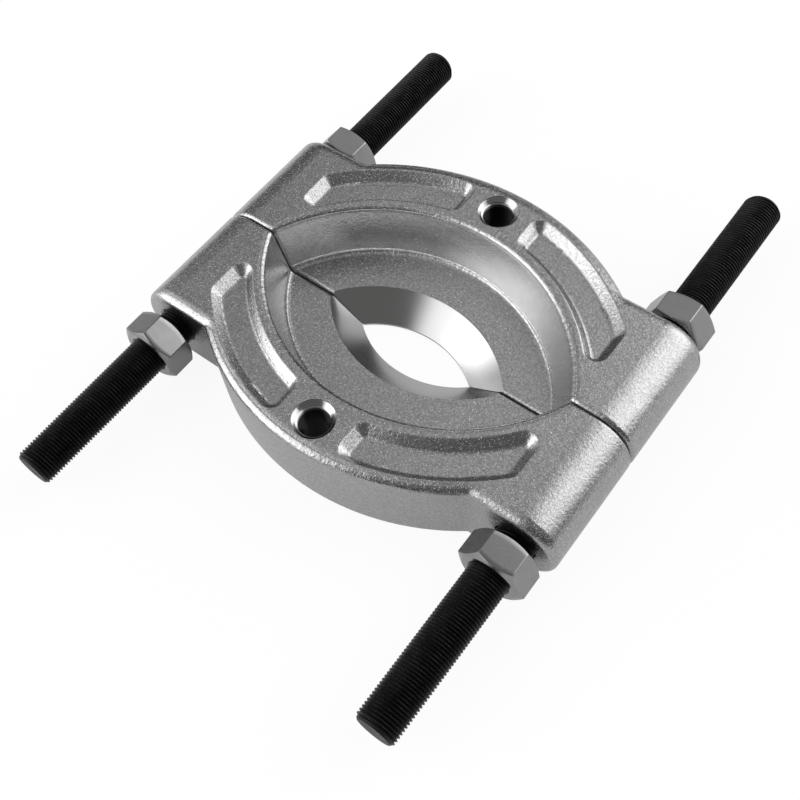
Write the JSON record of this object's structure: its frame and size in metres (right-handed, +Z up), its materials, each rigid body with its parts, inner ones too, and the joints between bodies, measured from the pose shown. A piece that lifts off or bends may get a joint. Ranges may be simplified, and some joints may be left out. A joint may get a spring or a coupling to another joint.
{
  "type": "bearing separator",
  "caption": "Bearing separator: split plate with a recess and a knife-edged opening, drawn together behind a bearing by nuts on long threaded studs.",
  "frame": {"origin": "centre of the opening, at the underside of the plates", "axes": "+X along the seam between the halves, +Y along the studs towards the rear half, +Z up out of the recess"},
  "size_m": [0.221, 0.2983, 0.036],
  "materials": {
    "forged_steel": "blasted forging with a satin silver plating",
    "black_steel": "black oxide",
    "nut_steel": "satin plating"
  },
  "bodies": {
    "studs": {"left_stud": "black_steel", "right_stud": "black_steel"},
    "front_half": {"front_half": "forged_steel"},
    "rear_half": {"rear_half": "forged_steel"},
    "front_left_nut": {"front_left_nut": "nut_steel"},
    "front_right_nut": {"front_right_nut": "nut_steel"},
    "rear_left_nut": {"rear_left_nut": "nut_steel"},
    "rear_right_nut": {"rear_right_nut": "nut_steel"}
  },
  "joints": [
    {"name": "front_half_slide", "type": "slide", "parent": "studs", "child": "front_half", "axis": [0, -1, 0], "range_m": [0, 0.0705]},
    {"name": "rear_half_slide", "type": "slide", "parent": "studs", "child": "rear_half", "axis": [0, 1, 0], "range_m": [0, 0.0705]},
    {"name": "front_left_nut_turn", "type": "hinge", "parent": "front_half", "child": "front_left_nut", "pos_m": [-0.09199, -0.06985, 0.0175], "axis": [0, -1, 0], "range_deg": [0, 16920]},
    {"name": "front_right_nut_turn", "type": "hinge", "parent": "front_half", "child": "front_right_nut", "pos_m": [0.09199, -0.06815, 0.0175], "axis": [0, -1, 0], "range_deg": [0, 16920]},
    {"name": "rear_left_nut_turn", "type": "hinge", "parent": "rear_half", "child": "rear_left_nut", "pos_m": [-0.09199, 0.06705, 0.0175], "axis": [0, 1, 0], "range_deg": [0, 16920]},
    {"name": "rear_right_nut_turn", "type": "hinge", "parent": "rear_half", "child": "rear_right_nut", "pos_m": [0.09199, 0.06865, 0.0175], "axis": [0, 1, 0], "range_deg": [0, 16920]}
  ],
  "couplings": [
    {"joint": "front_left_nut_turn", "follows": "front_half_slide", "rad_per_m": 4188.8},
    {"joint": "front_right_nut_turn", "follows": "front_half_slide", "rad_per_m": 4188.8},
    {"joint": "rear_left_nut_turn", "follows": "rear_half_slide", "rad_per_m": 4188.8},
    {"joint": "rear_right_nut_turn", "follows": "rear_half_slide", "rad_per_m": 4188.8}
  ]
}
